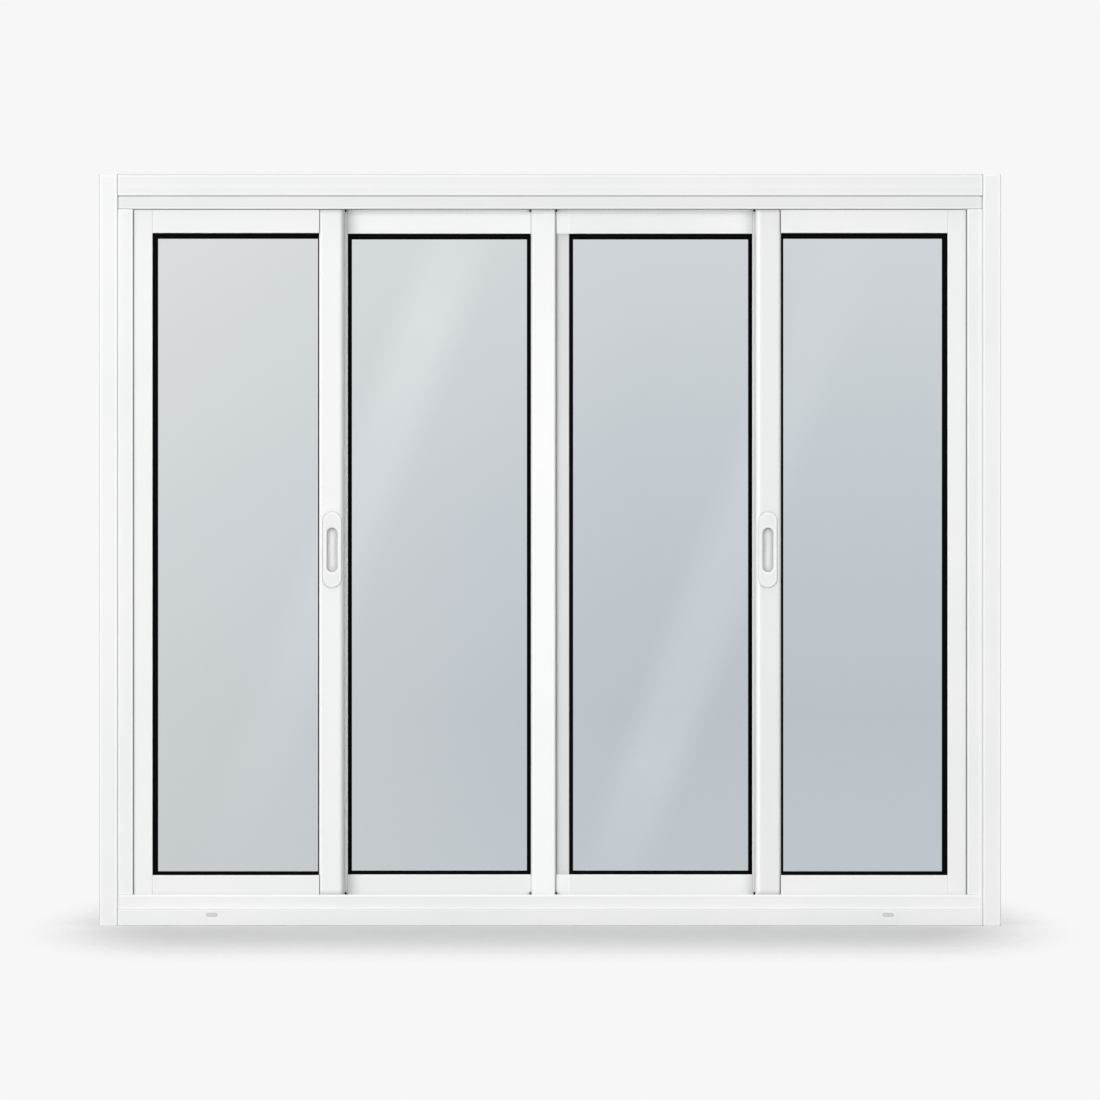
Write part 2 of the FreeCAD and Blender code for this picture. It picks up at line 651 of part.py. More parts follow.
# The right half mirrors it, but for the middle, where the left sash's lip laps over, and the
# gaskets beside the pulls, of which the right one shows more.
meeting_stile("sash_3_meeting_stile", half_gap + s.meeting_stile, True)
add_gasket("sash_1_gasket", outer_rail_left, outer_rail, -track, s.show_outer, s.show_left_hook)
add_gasket("sash_4_gasket", -(outer_rail_left + outer_rail), outer_rail, -track,
           s.show_right_hook, s.show_outer)
for piece in [outer, front, pull] + sash_1:
    keep(mirrored(piece.Label.replace("sash_1", "sash_4"), piece))
for piece in [back, inner_gasket] + sash_2:
    keep(mirrored(piece.Label.replace("sash_2", "sash_3"), piece))

doc.recompute()
faults = [f"{thing.Label}: {thing.State}" for thing in doc.Objects
          if "Invalid" in thing.State or "Error" in thing.State]
faults += [f"{piece.Label}: no valid shape" for piece in pieces
           if piece.Shape.isNull() or not piece.Shape.isValid()]
if faults:
    raise RuntimeError("; ".join(faults))
os.makedirs("parts", exist_ok=True)
for piece in pieces:
    piece.Shape.exportStep(f"parts/{piece.Label}.step")
    box = piece.Shape.BoundBox
    print(f"{piece.Label:28s} {len(piece.Shape.Solids)} "
          f"x {box.XMin:8.2f} {box.XMax:8.2f} y {box.YMin:7.2f} {box.YMax:7.2f} "
          f"z {box.ZMin:7.2f} {box.ZMax:7.2f}  {piece.Shape.Volume / 1000:8.1f} cm3")
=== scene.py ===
import json
import math
import bpy
import numpy as np
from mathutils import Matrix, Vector


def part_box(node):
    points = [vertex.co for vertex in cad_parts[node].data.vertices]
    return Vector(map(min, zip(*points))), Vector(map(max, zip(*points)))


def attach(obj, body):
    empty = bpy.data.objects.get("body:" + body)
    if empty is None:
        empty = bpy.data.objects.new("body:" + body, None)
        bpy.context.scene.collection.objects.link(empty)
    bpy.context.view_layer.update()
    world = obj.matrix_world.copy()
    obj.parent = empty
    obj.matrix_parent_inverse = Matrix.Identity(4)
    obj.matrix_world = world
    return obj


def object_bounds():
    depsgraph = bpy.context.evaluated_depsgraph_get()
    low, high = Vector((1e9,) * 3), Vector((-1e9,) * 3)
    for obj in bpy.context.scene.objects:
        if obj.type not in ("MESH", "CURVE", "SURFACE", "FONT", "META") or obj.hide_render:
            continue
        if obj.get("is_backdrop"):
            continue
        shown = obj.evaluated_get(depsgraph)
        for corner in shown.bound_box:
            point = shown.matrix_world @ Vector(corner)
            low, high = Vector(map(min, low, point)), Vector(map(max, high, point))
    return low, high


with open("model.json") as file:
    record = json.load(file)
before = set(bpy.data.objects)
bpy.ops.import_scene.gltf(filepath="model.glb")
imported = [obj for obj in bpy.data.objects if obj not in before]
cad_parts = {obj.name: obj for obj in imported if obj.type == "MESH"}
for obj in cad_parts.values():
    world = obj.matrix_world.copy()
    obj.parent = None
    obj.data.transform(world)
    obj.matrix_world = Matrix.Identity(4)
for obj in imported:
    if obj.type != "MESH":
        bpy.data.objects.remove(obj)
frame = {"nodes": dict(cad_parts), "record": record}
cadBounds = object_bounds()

# White sliding window with four glazed sashes, seen square-on in soft studio light.
# Everything is in metres: +X right, -Y towards the viewer, +Z up, sill on the floor at z = 0.

mm = 0.001

# where the photograph was taken from
cameraSetup = {
    "distance": 16.0,         # from the frame's front face to the lens: a long lens, as in the photo
    "height": 0.5,            # level with the middle of the window
    "viewWidth": 1.4637,      # width of the view at the frame's front face
    "sensor": 36.0,
}


def linear(hexColor):
    # sRGB hex to linear light, channel by channel
    channels = [int(hexColor[i:i + 2], 16) / 255 for i in (1, 3, 5)]
    return [c / 12.92 if c <= 0.04045 else ((c + 0.055) / 1.055) ** 2.4 for c in channels] + [1.0]


def addNode(tree, kind, settings=None, inputs=None, links=None, stops=()):
    # one node with its settings, input values, links and, on a ramp, colour stops; sockets go by their
    # names or numbers, and a linked node stands for its first output
    node = tree.nodes.new(kind)
    for name, value in (settings or {}).items():
        setattr(node, name, value)
    for socket, value in (inputs or {}).items():
        node.inputs[socket].default_value = value
    for socket, source in (links or {}).items():
        output = source.outputs[0] if isinstance(source, bpy.types.Node) else source
        tree.links.new(output, node.inputs[socket])
    for number, (position, color) in enumerate(stops):
        elements = node.color_ramp.elements
        stop = elements[number] if number < 2 else elements.new(position)
        stop.position, stop.color = position, color
    return node


def newMaterial(name):
    material = bpy.data.materials.new(name)
    material.use_nodes = True
    material.node_tree.nodes.clear()
    return material, material.node_tree


def finishMaterial(material, tree, shader):
    addNode(tree, "ShaderNodeOutputMaterial", links={"Surface": shader})
    return material


powderCoat = {
    "roughness": 0.42, "roughnessSpread": 0.04, "ior": 1.5,
    "orangePeel": 2.4 * mm,   # real peel is about 1 mm; drawn coarser so that it shows
    "peelHeight": 0.012 * mm,
    "cloud": 180 * mm,        # broad change of film thickness
    "thinUntil": 0.35, "thickFrom": 0.65,     # the shares of the cloud between which it changes
    "highlightWhite": "#FFFFFF",
    "bright": (0.998, 0.975),     # the cosines of the turn at a corner between which its painted highlight sets in
    "rounded": (1.05, 1.15),      # the sums of a facet's normal between which a rounded corner gets its painted shade
    "jointOpenness": 0.4,         # how open the bottom of a joint is, where the painted shade lies darkest
    "cornerSamples": 4, "shadeSamples": 6,
    # each coat's white, its shade where it is thinner, its painted shade on the rounded corners, if it has
    # one, how far in from a corner its painted highlight begins, and its layers of painted shade: how far
    # one reaches out of a joint or an inside corner, what it keeps of the white at the bottom, and how open
    # a clean spot is. The whites differ from piece to piece as painted light and shade: darker where less
    # light falls, as on the head, the first sash's bottom rail and the right interlock, lighter on the back
    # sashes, and lightest, as a painted highlight, on the second sash's top rail and the centre cover
    "coats": {
        "head": ("#EBECEB", "#E7E8E8", "#D8D9D9", 4 * mm, [(2.4 * mm, 0.05, 0.9)]),
        "jamb": ("#F0F1F0", "#ECEDED", "#DCDDDD", 5 * mm, [(1.7 * mm, 0.56, 0.9)]),
        "sill": ("#F0F1F0", "#ECEDED", "#E4E5E5", 3 * mm, [(1.7 * mm, 0.70, 0.9)]),
        "shaded rail": ("#EFF0EF", "#ECEDED", None, 2.6 * mm, [(1.5 * mm, 0.66, 0.9)]),
        "front sash": ("#F2F3F2", "#EFF0F0", None, 2.6 * mm, [(1.5 * mm, 0.66, 0.9)]),
        "back sash": ("#F7F8F7", "#F4F5F5", None, 2.6 * mm, [(1.5 * mm, 0.66, 0.9)]),
        "highlit sash": ("#FCFDFC", "#F9FAFA", None, 2.6 * mm, [(1.5 * mm, 0.66, 0.9)]),
        "left interlock": ("#F1F2F1", "#EFF0F0", None, 2.6 * mm,
                           [(1.5 * mm, 0.60, 0.9), (7 * mm, 0.60, 1.0)]),
        "right interlock": ("#EBECEB", "#E9EAEA", None, 2.6 * mm,
                            [(1.5 * mm, 0.60, 0.9), (7 * mm, 0.60, 1.0)]),
        "finger pull": ("#ECEDEC", "#E9EAEA", None, 2.6 * mm,
                        [(1.5 * mm, 0.60, 0.9), (9 * mm, 0.74, 1.0)]),
        "shaded recess": ("#FBFCFB", "#F7F8F8", None, 2.6 * mm, [(1.5 * mm, 0.95, 0.9), (20 * mm, 0.70, 1.0)]),
    },
    # the interlocks' nose is drawn round: its left shoulder gets a broad painted highlight and its right one
    # a broad painted shade, each from and to how far the rounded surface leans to that side
    "noses": ["left interlock", "right interlock"], "noseRadius": 6.5 * mm,
    "noseLightAndShade": [((-1, 0, 0), 0.04, 0.16, "#FFFFFF"), ((1, 0, 0), 0.03, 0.42, "#C7C8C8")],
    "tip": {"coat": "sill", "from": 38.4 * mm, "to": 39.4 * mm},   # height of a painted highlight along the sill's leg rims
    "recess": {"coat": "shaded recess", "from": 6 * mm, "to": 9 * mm, "keeps": 0.80},   # depth over which painted shade darkens the recessed face
}


def coatOf(nodeName):
    named = {"head": "head", "sill": "sill", "left_jamb": "jamb", "right_jamb": "jamb",
             "sash_1_bottom_rail": "shaded rail", "sash_2_bottom_rail": "front sash",
             "sash_3_bottom_rail": "front sash", "sash_2_top_rail": "highlit sash",
             "sash_2_meeting_stile": "highlit sash", "sash_3_meeting_stile": "shaded recess",
             "sash_1_interlock_stile": "left interlock", "sash_4_interlock_stile": "right interlock",
             "sash_1_flush_pull": "finger pull", "sash_4_flush_pull": "finger pull"}
    front = nodeName.startswith(("sash_1", "sash_4"))
    return named.get(nodeName, "front sash" if front else "back sash")


def layTint(tree, color, value, start, full, tint):
    # a tint laid over a colour, none of it where the value is at start and all of it at full
    share = addNode(tree, "ShaderNodeMapRange", inputs={"From Min": start, "From Max": full},
                    links={"Value": value})
    return addNode(tree, "ShaderNodeMixRGB", inputs={"Color2": linear(tint)},
                   links={"Fac": share, "Color1": color})


def layPaintedShade(tree, color, value, start, end, keptAtStart, keptAtEnd):
    # painted shade that leaves these shares of a colour where the value is at start and at end
    kept = addNode(tree, "ShaderNodeMapRange",
                   inputs={"From Min": start, "From Max": end, "To Min": keptAtStart, "To Max": keptAtEnd},
                   links={"Value": value})
    return addNode(tree, "ShaderNodeVectorMath", {"operation": "SCALE"}, links={0: color, "Scale": kept})


def paintCornerHighlights(tree, color, facet, reach):
    # the cosine between a facet's normal and the normal it would have on a corner rounded this far falls
    # from 1 near the corner, where a painted highlight is laid
    smoothed = addNode(tree, "ShaderNodeBevel", {"samples": powderCoat["cornerSamples"]}, {"Radius": reach})
    turn = addNode(tree, "ShaderNodeVectorMath", {"operation": "DOT_PRODUCT"}, links={0: smoothed, 1: facet})
    return layTint(tree, color, turn.outputs["Value"], *powderCoat["bright"], powderCoat["highlightWhite"])


def paintNoseLightAndShade(tree, color):
    # the two shoulders of an interlock's round nose: a painted highlight on the left, painted shade on the
    # right
    smoothed = addNode(tree, "ShaderNodeBevel", {"samples": powderCoat["cornerSamples"]},
                       {"Radius": powderCoat["noseRadius"]})
    for side, least, most, tint in powderCoat["noseLightAndShade"]:
        lean = addNode(tree, "ShaderNodeVectorMath", {"operation": "DOT_PRODUCT"}, {1: side}, {0: smoothed})
        color = layTint(tree, color, lean.outputs["Value"], least, most, tint)
    return color


def paintCornerShade(tree, color, facet, grey):
    # |x| + |y| + |z| of a facet's normal is 1 where it faces along an axis and more on a rounded corner,
    # which gets painted shade
    size = addNode(tree, "ShaderNodeVectorMath", {"operation": "ABSOLUTE"}, links={0: facet})
    total = addNode(tree, "ShaderNodeVectorMath", {"operation": "DOT_PRODUCT"}, {1: (1, 1, 1)}, {0: size})
    return layTint(tree, color, total.outputs["Value"], *powderCoat["rounded"], grey)


def makePowderCoat(name):
    # Baked polyester powder on an extrusion: white, satin, with faint orange peel in the highlights.
    # The corners carry a painted highlight as thin bright lines, and the joints and inside corners painted
    # shade as thin dark ones. The white differs a little from piece to piece as painted light and shade, and
    # more painted shade lies in the recess beside the centre cover.
    material, tree = newMaterial(name + " coat of white polyester powder")
    white, thinWhite, cornerShade, highlightFrom, shadeLayers = powderCoat["coats"][name]
    place = addNode(tree, "ShaderNodeTexCoord").outputs["Object"]
    facet = addNode(tree, "ShaderNodeNewGeometry").outputs["True Normal"]
    cloud = addNode(tree, "ShaderNodeTexNoise", inputs={"Scale": 1 / powderCoat["cloud"], "Detail": 2.0},
                    links={"Vector": place})
    color = addNode(tree, "ShaderNodeValToRGB", links={"Fac": cloud},
                    stops=[(powderCoat["thinUntil"], linear(thinWhite)),
                           (powderCoat["thickFrom"], linear(white))])
    color = paintCornerHighlights(tree, color, facet, highlightFrom)
    if name in powderCoat["noses"]:
        color = paintNoseLightAndShade(tree, color)
    if cornerShade:
        color = paintCornerShade(tree, color, facet, cornerShade)
    tip, recess = powderCoat["tip"], powderCoat["recess"]
    # a painted highlight along the sill at its legs' rims
    if name == tip["coat"]:
        spot = addNode(tree, "ShaderNodeSeparateXYZ", links={"Vector": place})
        color = layTint(tree, color, spot.outputs["Z"], tip["from"], tip["to"], powderCoat["highlightWhite"])
    # painted shade, darker the deeper the recessed face lies
    if name == recess["coat"]:
        spot = addNode(tree, "ShaderNodeSeparateXYZ", links={"Vector": place})
        color = layPaintedShade(tree, color, spot.outputs["Y"], recess["from"], recess["to"], 1.0, recess["keeps"])
    # painted shade from ambient occlusion in the joints, inside corners and recesses
    for reach, least, clean in shadeLayers:
        around = addNode(tree, "ShaderNodeAmbientOcclusion", {"samples": powderCoat["shadeSamples"]},
                         {"Distance": reach})
        color = layPaintedShade(tree, color, around.outputs["AO"], powderCoat["jointOpenness"], clean, least, 1.0)
    peel = addNode(tree, "ShaderNodeTexNoise", inputs={"Scale": 1 / powderCoat["orangePeel"], "Detail": 1.0},
                   links={"Vector": place})
    relief = addNode(tree, "ShaderNodeBump", inputs={"Strength": 1.0, "Distance": powderCoat["peelHeight"]},
                     links={"Height": peel})
    middle, spread = powderCoat["roughness"], powderCoat["roughnessSpread"]
    roughness = addNode(tree, "ShaderNodeMapRange",
                        inputs={"To Min": middle - spread, "To Max": middle + spread},
                        links={"Value": cloud})
    shader = addNode(tree, "ShaderNodeBsdfPrincipled", inputs={"IOR": powderCoat["ior"]},
                     links={"Base Color": color, "Normal": relief, "Roughness": roughness})
    return finishMaterial(material, tree, shader)


floatGlass = {
    # what the pane passes, at its foot, low, middle and top, and a little paler to the left: painted light
    "left": ["#CBD0D4", "#CED3D6", "#D5DADE", "#E0E4E6"],
    "right": ["#C1C9CF", "#BDC5CC", "#C4CCD2", "#D3D9DD"],
    "stops": [0.0, 0.25, 0.55, 1.0],
    "paleFrom": -530 * mm, "paleTo": 120 * mm,
    "foot": 70 * mm, "head": 920 * mm,
    "ior": 1.52,
    "waveLength": 90 * mm,    # slow roller wave of drawn glass
    "waveHeight": 0.002 * mm,
}


def makeGlass():
    # 5 mm float glass with a grey-blue tint: clear, polished, mirror-smooth in the highlights; its pass is
    # painted lighter towards the top and the left, as painted light.
    material, tree = newMaterial("tinted float glass")
    place = addNode(tree, "ShaderNodeTexCoord").outputs["Object"]
    spot = addNode(tree, "ShaderNodeSeparateXYZ", links={"Vector": place})
    height = addNode(tree, "ShaderNodeMapRange",
                     inputs={"From Min": floatGlass["foot"], "From Max": floatGlass["head"]},
                     links={"Value": spot.outputs["Z"]})
    across = addNode(tree, "ShaderNodeMapRange",
                     inputs={"From Min": floatGlass["paleFrom"], "From Max": floatGlass["paleTo"]},
                     links={"Value": spot.outputs["X"]})
    left, right = (addNode(tree, "ShaderNodeValToRGB", links={"Fac": height},
                           stops=zip(floatGlass["stops"], map(linear, floatGlass[side])))
                   for side in ("left", "right"))
    tint = addNode(tree, "ShaderNodeMix", {"data_type": "RGBA"}, links={0: across, 6: left, 7: right})
    wave = addNode(tree, "ShaderNodeTexNoise", inputs={"Scale": 1 / floatGlass["waveLength"], "Detail": 0.0},
                   links={"Vector": place})
    relief = addNode(tree, "ShaderNodeBump", inputs={"Strength": 1.0, "Distance": floatGlass["waveHeight"]},
                     links={"Height": wave})
    shader = addNode(tree, "ShaderNodeBsdfPrincipled",
                     inputs={"IOR": floatGlass["ior"], "Roughness": 0.0, "Transmission Weight": 1.0},
                     links={"Base Color": tint.outputs[2], "Normal": relief})
    return finishMaterial(material, tree, shader)


def makeGrain(tree, finish, dark, light):
    # a tone and a relief from the same fine blotches: dark in the low ones, light on the high ones
    place = addNode(tree, "ShaderNodeTexCoord").outputs["Object"]
    grain = addNode(tree, "ShaderNodeTexNoise",
                    inputs={"Scale": 1 / finish["grain"], "Detail": finish["detail"]},
                    links={"Vector": place})
    tone = addNode(tree, "ShaderNodeValToRGB", links={"Fac": grain},
                   stops=[(finish["darkUntil"], linear(dark)), (finish["lightFrom"], linear(light))])
    relief = addNode(tree, "ShaderNodeBump",
                     inputs={"Strength": finish["relief"], "Distance": finish["height"]},
                     links={"Height": grain})
    return tone, relief


gasketRubber = {
    "black": "#010101", "grey": "#040405", "darkUntil": 0.3, "lightFrom": 0.8,
    "grain": 14 * mm, "detail": 3.0, "relief": 0.4, "height": 0.02 * mm,
    "roughness": 0.6, "gloss": 0.03,
}


def makeGasket():
    # Extruded EPDM: near black, matt, with a faint uneven bloom.
    material, tree = newMaterial("EPDM rubber")
    tone, relief = makeGrain(tree, gasketRubber, gasketRubber["black"], gasketRubber["grey"])
    shader = addNode(tree, "ShaderNodeBsdfPrincipled",
                     inputs={"Roughness": gasketRubber["roughness"],
                             "Specular IOR Level": gasketRubber["gloss"]},
                     links={"Base Color": tone, "Normal": relief})
    return finishMaterial(material, tree, shader)


mouldedPlastic = {
    "darkUntil": 0.3, "lightFrom": 0.7,
    "grain": 0.6 * mm, "detail": 2.0, "relief": 0.3, "height": 0.02 * mm,
}


def makePlastic(name, light, dark, roughness):
    # Injection-moulded plastic with a fine spark-eroded grain.
    material, tree = newMaterial(name)
    tone, relief = makeGrain(tree, mouldedPlastic, dark, light)
    shader = addNode(tree, "ShaderNodeBsdfPrincipled", inputs={"Roughness": roughness},
                     links={"Base Color": tone, "Normal": relief})
    return finishMaterial(material, tree, shader)


wovenPile = {
    "dark": "#18191A", "light": "#3A3C3E", "darkUntil": 0.35, "lightFrom": 0.7,
    "grain": 0.5 * mm,        # real fibres are 0.05 mm; drawn coarser so that they show
    "detail": 2.0, "relief": 0.8, "height": 0.1 * mm,
    "roughness": 0.9, "gloss": 0.1, "sheen": 0.1,
}


def makePile():
    # Polypropylene weather-strip pile: thousands of stiff dark fibres on end, dull and slightly streaky.
    material, tree = newMaterial("polypropylene pile")
    tone, relief = makeGrain(tree, wovenPile, wovenPile["dark"], wovenPile["light"])
    shader = addNode(tree, "ShaderNodeBsdfPrincipled",
                     inputs={"Roughness": wovenPile["roughness"], "Specular IOR Level": wovenPile["gloss"],
                             "Sheen Weight": wovenPile["sheen"]},
                     links={"Base Color": tone, "Normal": relief})
    return finishMaterial(material, tree, shader)


coats = {name: makePowderCoat(name) for name in powderCoat["coats"]}
rubber = makeGasket()
pile = makePile()
slotMaterials = {
    "float_glass": makeGlass(),
    "epdm_rubber": rubber,
    "nylon": makePlastic("moulded nylon", "#2C2C2E", "#222224", roughness=0.5),
    "moulded_plastic": makePlastic("moulded weather-proof ABS", "#DADBDB", "#CFD0D0", roughness=0.45),
}

slotOfNode = {part["node"]: part["material_slot"] for part in frame["record"]["subparts"]}
for nodeName, nodeObject in frame["nodes"].items():
    material = slotMaterials.get(slotOfNode[nodeName]) or coats[coatOf(nodeName)]
    nodeObject.data.materials.clear()
    nodeObject.data.materials.append(material)
print("materials on", len(frame["nodes"]), "nodes")


def addPiece(name, points, faces, material):
    # a mesh at the origin that rides on the window and takes the given finish
    mesh = bpy.data.meshes.new(name)
    mesh.from_pydata(points.reshape(-1, 3), [], faces)
    mesh.update()
    mesh.materials.append(material)
    piece = bpy.data.objects.new(name, mesh)
    bpy.context.scene.collection.objects.link(piece)
    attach(piece, "root")


def gridFaces(rows, columns, closedRows):
    # quads between each row of points and the next; the columns always close on themselves
    last = rows if closedRows else rows - 1
    r, c = np.meshgrid(np.arange(last), np.arange(columns), indexing="ij")
    down, across = (r + 1) % rows, (c + 1) % columns
    quads = np.stack([r * columns + c, r * columns + across,
                      down * columns + across, down * columns + c], -1)
    return quads.reshape(-1, 4).tolist()


def endFaces(rows, columns):
    # one face over the first row of points and one over the last
    first = list(range(columns))
    return [first[::-1], [(rows - 1) * columns + i for i in first]]


def outward(points, faces):
    # turns every face over if the shell's volume, the sum of its fans' triple products, is negative
    flat = points.reshape(-1, 3)
    volume = 0.0
    for face in faces:
        corners = flat[face]
        volume += np.sum(np.cross(corners[1:-1] - corners[0], corners[2:] - corners[0]) * corners[0])
    return faces if volume > 0 else [face[::-1] for face in faces]


rubberShows = {           # how much of the rubber shows at its left, right, top and bottom, as in the CAD
    "sash_1": (7.2, 1.6, 7.4, 4.9), "sash_2": (5.4, 5.4, 7.4, 4.9),
    "sash_3": (5.4, 5.4, 7.4, 4.9), "sash_4": (3.3, 7.2, 7.4, 4.9),
}


def sightOf(sash):
    # the opening of the rubber round the glass: the rails' lips and ends less what shows of the rubber
    left, right, top, bottom = (size * mm for size in rubberShows[sash])
    topRail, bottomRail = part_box(sash + "_top_rail"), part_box(sash + "_bottom_rail")
    low = np.array([topRail[0][0] + left, bottomRail[1][2] + bottom])
    high = np.array([topRail[1][0] - right, topRail[0][2] - top])
    return low, high


gasketLip = {"width": 1.5 * mm, "height": 0.45 * mm, "steps": 8}   # the rib along the rubber's face


def addGasketLip(sash):
    # A half round carried round a rectangle with mitred corners: a point of the profile at u outwards
    # and v forwards lies at centre + sign * (half size + u) in x and z, and at the rubber's face - v in y.
    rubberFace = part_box(sash + "_gasket")[0][1]
    glassLow, glassHigh = sightOf(sash)
    halfWidth = gasketLip["width"] / 2
    middle = (glassLow + glassHigh) / 2
    half = (glassHigh - glassLow) / 2 + halfWidth
    angle = np.linspace(0, np.pi, gasketLip["steps"])
    u = np.append(np.cos(angle) * halfWidth, [-halfWidth, halfWidth])
    v = np.append(np.sin(angle) * gasketLip["height"], [-gasketLip["height"]] * 2)
    signs = np.array([[-1, -1], [1, -1], [1, 1], [-1, 1]])[:, None, :]
    spots = middle + signs * (half + u[None, :, None])
    points = np.stack([spots[..., 0], rubberFace - np.broadcast_to(v, spots.shape[:2]), spots[..., 1]], -1)
    faces = outward(points, gridFaces(len(signs), len(u), True))
    addPiece(sash + "_gasket_lip", points, faces, rubber)


for sash in rubberShows:
    addGasketLip(sash)

pileStrip = {
    "root": 33.1 * mm, "tip": 30.5 * mm,     # from the back of the leg to just off the sash
    "width": 4.8 * mm,
    "headPeep": 0.5 * mm, "jambPeep": 0.65 * mm, "sillPeep": -0.4 * mm,   # how far it shows past the leg
    "tuft": 3.0 * mm, "ragged": 0.15 * mm, "waves": (7, 3),
    "jambLeg": 555.0 * mm, "headLeg": 953.7 * mm, "sillLeg": 41.3 * mm,
}


def addPile(name, along, start, end, loop):
    # A closed loop of points in the section, carried from start to end along x or z in steps of one tuft.
    # The loop's first two points are the fibre ends: step k moves them by ragged * sin(7 k) * sin(3 k).
    loop = np.array(loop)
    count = int((end - start) / pileStrip["tuft"]) + 2
    k = np.arange(count)
    coarse, fine = pileStrip["waves"]
    fray = pileStrip["ragged"] * np.sin(coarse * k) * np.sin(fine * k)
    section = np.repeat(loop[None], count, axis=0)
    section[:, :2] += fray[:, None, None] * np.sign(loop[0] - loop[-1])
    stations = np.broadcast_to(np.linspace(start, end, count)[:, None], section.shape[:2])
    first, second = section[..., 0], section[..., 1]
    points = np.stack((stations, first, second) if along == "x" else (first, second, stations), -1)
    faces = gridFaces(count, len(loop), False) + endFaces(count, len(loop))
    addPiece(name, points, outward(points, faces), pile)


def addFramePiles():
    # behind the legs of the head, the sill and the jambs, on the front and on the back of the window
    jamb, head, sill = pileStrip["jambLeg"], pileStrip["headLeg"], pileStrip["sillLeg"]
    width = pileStrip["width"]
    headEdge, sillEdge = head - pileStrip["headPeep"], sill + pileStrip["sillPeep"]
    for face, side in (("front", -1), ("back", 1)):
        tip, root = pileStrip["tip"] * side, pileStrip["root"] * side
        addPile(f"head_{face}_pile", "x", -jamb, jamb,
                [(tip, headEdge), (root, headEdge), (root, headEdge + width), (tip, headEdge + width)])
        addPile(f"sill_{face}_pile", "x", -jamb, jamb,
                [(tip, sillEdge), (root, sillEdge), (root, sillEdge - width), (tip, sillEdge - width)])
        for hand, across in (("left", -1), ("right", 1)):
            inner = (jamb - pileStrip["jambPeep"]) * across
            outer = inner + width * across
            addPile(f"{hand}_jamb_{face}_pile", "z", sill, headEdge,
                    [(inner, tip), (inner, root), (outer, root), (outer, tip)])


addFramePiles()

meetingPile = {
    "near": 1.8 * mm, "far": 8.2 * mm, "tip": 6.9 * mm, "root": 9.2 * mm,
    "foot": 36 * mm, "top": 957 * mm,
    "middle": 17.3 * mm,      # depth of the back track, round which one pile is turned into the other
}


def addMeetingPiles():
    # the pair of piles that close the gap between the meeting stiles, one turned half round from the other
    near, far, tip, root = (meetingPile[side] for side in ("near", "far", "tip", "root"))
    front = [(near, tip), (far, tip), (far, root), (near, root)]
    back = [(-x, 2 * meetingPile["middle"] - y) for x, y in front]
    for name, loop in (("front", front), ("back", back)):
        addPile(f"meeting_{name}_pile", "z", meetingPile["foot"], meetingPile["top"], loop)


dustPads = {
    "squareness": 0.25,       # the power of the block's rounding: 1 is an ellipsoid, 0 a sharp block
    "rings": 14, "segments": 24,
    # where each pair of pads stands: x and y from and to, and z from and to at the top and the bottom
    "pairs": {
        "left_interlock": ((-290, -271), (-3.8, 3.8), (951.0, 959.1), (34.5, 44.0)),
        "right_interlock": ((271, 290), (-3.8, 3.8), (951.0, 959.1), (34.5, 44.0)),
        "cover_left": ((-27.4, -25.8), (-1.4, 4.0), (951.2, 959.1), (34.5, 43.8)),
        "cover_right": ((7.7, 9.4), (-1.4, 4.0), (951.2, 959.1), (34.5, 43.8)),
    },
}


def softened(wave):
    return np.sign(wave) * np.abs(wave) ** dustPads["squareness"]


def addPad(name, across, depth, upright):
    # A superellipsoid: with s(w) = sign(w) |w|^squareness, a point at angles u down and v round lies at
    # centre + half size * (s(sin u) s(cos v), s(sin u) s(sin v), s(cos u)).
    rings, segments = dustPads["rings"], dustPads["segments"]
    down = np.linspace(0, np.pi, rings + 2)[1:-1]
    u, v = np.meshgrid(down, np.arange(segments) * 2 * np.pi / segments, indexing="ij")
    shape = np.stack([softened(np.sin(u)) * softened(np.cos(v)), softened(np.sin(u)) * softened(np.sin(v)),
                      softened(np.cos(u))], -1)
    low, high = np.array([across, depth, upright]).T * mm
    points = (low + high) / 2 + shape * (high - low) / 2
    faces = gridFaces(rings, segments, False) + endFaces(rings, segments)
    addPiece(name, points, outward(points, faces), pile)


def addDustPads():
    # fibre blocks that plug the tracks where the stiles of two sashes pass each other
    for pair, (across, depth, top, bottom) in dustPads["pairs"].items():
        addPad(pair + "_top_pad", across, depth, top)
        addPad(pair + "_bottom_pad", across, depth, bottom)


addMeetingPiles()
addDustPads()
print("gasket lips, pile strips and dust pads")

studio = {
    "background": "#F7F7F7",
    "worldStrength": 0.26,
    "lamps": {                # width, height, watts and place; each is aimed at the middle of the window
        "key softbox": (2.6, 2.2, 133.0, (-2.2, -5.0, 0.95)),
        "fill softbox": (2.6, 2.2, 95.0, (2.3, -5.2, 0.85)),
        "back softbox": (2.6, 2.0, 110.0, (0.5, 5.0, 1.5)),
        "top edge light": (2.2, 0.3, 9.5, (0, -0.25, 2.3)),
        "left edge light": (0.3, 1.6, 6.0, (-2.1, -0.2, 0.6)),
        "right edge light": (0.3, 1.6, 4.5, (2.1, -0.2, 0.6)),
    },
    "aim": (0, 0, 0.5),
    "floorColor": "#F6F6F6",
    "floorBounce": "#B0B0B0",  # what the floor throws back at the window: less, so its foot isn't lit up
    # how far the floor shows round the window before it melts into the backdrop
    "floorInside": 0.14,      # the melting starts this far inside the window's ends
    "floorSide": 0.11, "floorFront": 1.5, "floorBack": 2.0,
    "floorFull": 0.18,        # the share of that reach over which it shows fully
}


